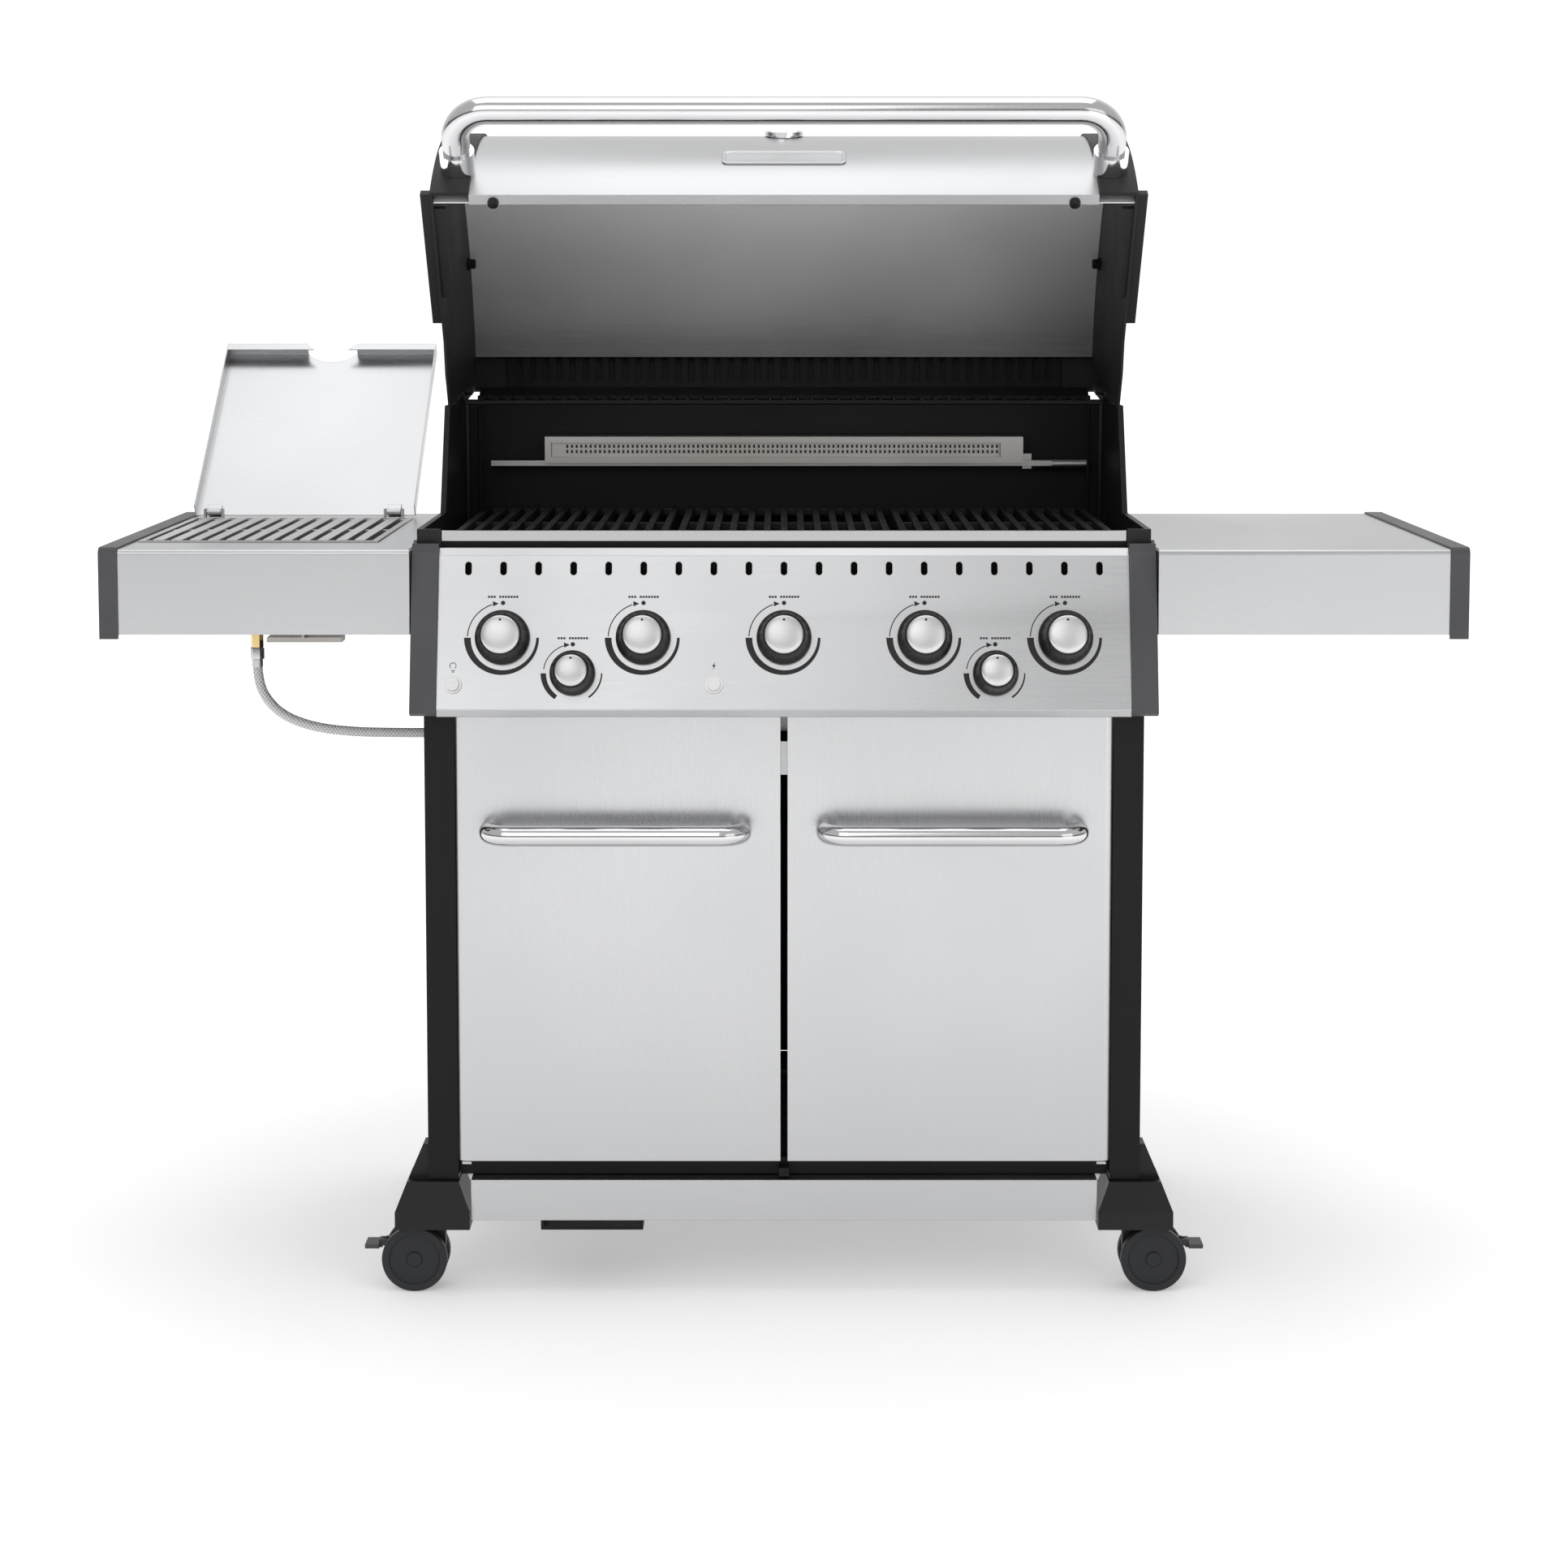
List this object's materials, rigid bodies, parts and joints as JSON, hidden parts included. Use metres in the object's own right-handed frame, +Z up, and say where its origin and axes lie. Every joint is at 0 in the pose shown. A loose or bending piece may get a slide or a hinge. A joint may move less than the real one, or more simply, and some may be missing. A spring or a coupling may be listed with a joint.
{
  "type": "gas barbecue grill",
  "caption": "Stainless gas barbecue grill with open hinged lid, rear burner, side burner, two side shelves and a two-door cabinet on swivel casters.",
  "frame": {"origin": "on the floor, under the middle of the whole grill's box", "axes": "+X to the right as seen from the front, +Y to the back, +Z up"},
  "size_m": [1.6, 0.7766, 1.4214],
  "materials": {
    "stainless": "brushed stainless sheet, satin",
    "stainless_inner": "stainless sheet, heat dulled",
    "black_enamel": "black enamel, semi gloss",
    "dark_casting": "die-cast aluminium, dark satin paint",
    "cast_iron": "matt seasoned cast iron",
    "chrome": "polished chrome",
    "handle_steel": "bright polished tube",
    "black_plastic": "moulded plastic",
    "grey_plastic": "moulded grey plastic",
    "caster_rubber": "smooth grey rubber tread",
    "brass": "machined brass",
    "hose_braid": "grey braided cover",
    "zinc": "zinc-plated steel"
  },
  "bodies": {
    "cart": {"base_shelf": "stainless", "burner_tubes": "stainless_inner", "button_bezels": "chrome", "cabinet_panels": "black_enamel", "cart_posts": "black_enamel", "cart_rails": "black_enamel", "console_caps": "grey_plastic", "control_panel": "stainless", "cookbox_ends": "dark_casting", "cookbox_shell": "black_enamel", "cookbox_trim": "stainless", "cooking_grids": "cast_iron", "door_catch": "zinc", "door_hinge_pins": "zinc", "gas_hose": "hose_braid", "gas_valves": "brass", "heat_tents": "stainless_inner", "hose_fittings": "brass", "leg_feet": "black_plastic", "rear_burner": "stainless_inner", "shelf_end_caps": "grey_plastic", "shelf_left": "stainless", "shelf_right": "stainless", "side_burner_bowl": "stainless_inner", "side_burner_grate": "zinc", "tank_bracket": "black_enamel", "warming_rack": "black_enamel"},
    "lid": {"lid_skin": "stainless", "lid_liner": "stainless_inner", "lid_back_panel": "black_enamel", "lid_end_caps": "dark_casting", "lid_handle": "handle_steel", "handle_brackets": "chrome", "thermometer": "chrome"},
    "needle": {"thermometer_needle": "black_plastic"},
    "side_lid": {"side_burner_lid": "stainless"},
    "left_door": {"door_left": "stainless", "door_handle_left": "handle_steel"},
    "right_door": {"door_right": "stainless", "door_handle_right": "handle_steel"},
    "knob_burner_1": {"knob_burner_1": "black_plastic"},
    "knob_burner_2": {"knob_burner_2": "black_plastic"},
    "knob_burner_3": {"knob_burner_3": "black_plastic"},
    "knob_burner_4": {"knob_burner_4": "black_plastic"},
    "knob_burner_5": {"knob_burner_5": "black_plastic"},
    "knob_side_burner": {"knob_side_burner": "black_plastic"},
    "knob_rear_burner": {"knob_rear_burner": "black_plastic"},
    "igniter_button": {"igniter_button": "chrome"},
    "light_button": {"light_button": "chrome"},
    "caster_front_left": {"caster_fork_front_left": "black_plastic"},
    "wheel_front_left": {"caster_wheel_front_left": "caster_rubber"},
    "caster_front_right": {"caster_fork_front_right": "black_plastic"},
    "wheel_front_right": {"caster_wheel_front_right": "caster_rubber"},
    "caster_rear_left": {"caster_fork_rear_left": "black_plastic"},
    "wheel_rear_left": {"caster_wheel_rear_left": "caster_rubber"},
    "caster_rear_right": {"caster_fork_rear_right": "black_plastic"},
    "wheel_rear_right": {"caster_wheel_rear_right": "caster_rubber"},
    "brake_left": {"brake_lever_left": "grey_plastic"},
    "brake_right": {"brake_lever_right": "grey_plastic"},
    "tray": {"grease_tray": "zinc"}
  },
  "joints": [
    {"name": "lid_hinge", "type": "hinge", "parent": "cart", "child": "lid", "pos_m": [0, 0.1173, 1.06], "axis": [1, 0, 0], "range_deg": [0, 53.4]},
    {"name": "thermometer_needle_turn", "type": "hinge", "parent": "lid", "child": "needle", "pos_m": [0, -0.04539, 1.38137], "axis": [0, 0.0455, -0.999], "range_deg": [0, 250]},
    {"name": "side_lid_hinge", "type": "hinge", "parent": "cart", "child": "side_lid", "pos_m": [-0.63, 0.1143, 0.902], "axis": [1, 0, 0], "range_deg": [0, 141.9]},
    {"name": "left_door_hinge", "type": "hinge", "parent": "cart", "child": "left_door", "pos_m": [-0.3782, -0.3137, 0.43], "axis": [0, 0, -1], "range_deg": [0, 105]},
    {"name": "right_door_hinge", "type": "hinge", "parent": "cart", "child": "right_door", "pos_m": [0.3782, -0.3137, 0.43], "axis": [0, 0, 1], "range_deg": [0, 105]},
    {"name": "knob_burner_1_turn", "type": "hinge", "parent": "cart", "child": "knob_burner_1", "pos_m": [-0.3288, -0.33228, 0.78969], "axis": [0, -0.9701, 0.2425], "range_deg": [0, 270]},
    {"name": "knob_burner_2_turn", "type": "hinge", "parent": "cart", "child": "knob_burner_2", "pos_m": [-0.1644, -0.33228, 0.78969], "axis": [0, -0.9701, 0.2425], "range_deg": [0, 270]},
    {"name": "knob_burner_3_turn", "type": "hinge", "parent": "cart", "child": "knob_burner_3", "pos_m": [0, -0.33228, 0.78969], "axis": [0, -0.9701, 0.2425], "range_deg": [0, 270]},
    {"name": "knob_burner_4_turn", "type": "hinge", "parent": "cart", "child": "knob_burner_4", "pos_m": [0.1644, -0.33228, 0.78969], "axis": [0, -0.9701, 0.2425], "range_deg": [0, 270]},
    {"name": "knob_burner_5_turn", "type": "hinge", "parent": "cart", "child": "knob_burner_5", "pos_m": [0.3288, -0.33228, 0.78969], "axis": [0, -0.9701, 0.2425], "range_deg": [0, 270]},
    {"name": "knob_side_burner_turn", "type": "hinge", "parent": "cart", "child": "knob_side_burner", "pos_m": [-0.2466, -0.34242, 0.74913], "axis": [0, -0.9701, 0.2425], "range_deg": [0, 270]},
    {"name": "knob_rear_burner_turn", "type": "hinge", "parent": "cart", "child": "knob_rear_burner", "pos_m": [0.2466, -0.34242, 0.74913], "axis": [0, -0.9701, 0.2425], "range_deg": [0, 270]},
    {"name": "igniter_button_press", "type": "slide", "parent": "cart", "child": "igniter_button", "axis": [0, 0.9701, -0.2425], "range_m": [0, 0.004], "stiffness_N_per_m": 400, "springref_m": -0.003},
    {"name": "light_button_press", "type": "slide", "parent": "cart", "child": "light_button", "axis": [0, 0.9701, -0.2425], "range_m": [0, 0.004], "stiffness_N_per_m": 400, "springref_m": -0.003},
    {"name": "caster_front_left_swivel", "type": "hinge", "parent": "cart", "child": "caster_front_left", "pos_m": [-0.418, -0.2927, 0.08], "axis": [0, 0, 1], "continuous": true},
    {"name": "wheel_front_left_roll", "type": "hinge", "parent": "caster_front_left", "child": "wheel_front_left", "pos_m": [-0.442, -0.2927, 0.039], "axis": [0, 1, 0], "continuous": true},
    {"name": "caster_front_right_swivel", "type": "hinge", "parent": "cart", "child": "caster_front_right", "pos_m": [0.418, -0.2927, 0.08], "axis": [0, 0, 1], "continuous": true},
    {"name": "wheel_front_right_roll", "type": "hinge", "parent": "caster_front_right", "child": "wheel_front_right", "pos_m": [0.442, -0.2927, 0.039], "axis": [0, 1, 0], "continuous": true},
    {"name": "caster_rear_left_swivel", "type": "hinge", "parent": "cart", "child": "caster_rear_left", "pos_m": [-0.418, 0.1673, 0.08], "axis": [0, 0, 1], "continuous": true},
    {"name": "wheel_rear_left_roll", "type": "hinge", "parent": "caster_rear_left", "child": "wheel_rear_left", "pos_m": [-0.442, 0.1673, 0.039], "axis": [0, 1, 0], "continuous": true},
    {"name": "caster_rear_right_swivel", "type": "hinge", "parent": "cart", "child": "caster_rear_right", "pos_m": [0.418, 0.1673, 0.08], "axis": [0, 0, 1], "continuous": true},
    {"name": "wheel_rear_right_roll", "type": "hinge", "parent": "caster_rear_right", "child": "wheel_rear_right", "pos_m": [0.442, 0.1673, 0.039], "axis": [0, 1, 0], "continuous": true},
    {"name": "brake_left_press", "type": "hinge", "parent": "caster_front_left", "child": "brake_left", "pos_m": [-0.472, -0.2927, 0.055], "axis": [0, -1, 0], "range_deg": [0, 20]},
    {"name": "brake_right_press", "type": "hinge", "parent": "caster_front_right", "child": "brake_right", "pos_m": [0.472, -0.2927, 0.055], "axis": [0, 1, 0], "range_deg": [0, 20]},
    {"name": "grease_tray_slide", "type": "slide", "parent": "cart", "child": "tray", "axis": [0, 1, 0], "range_m": [0, 0.3]}
  ]
}
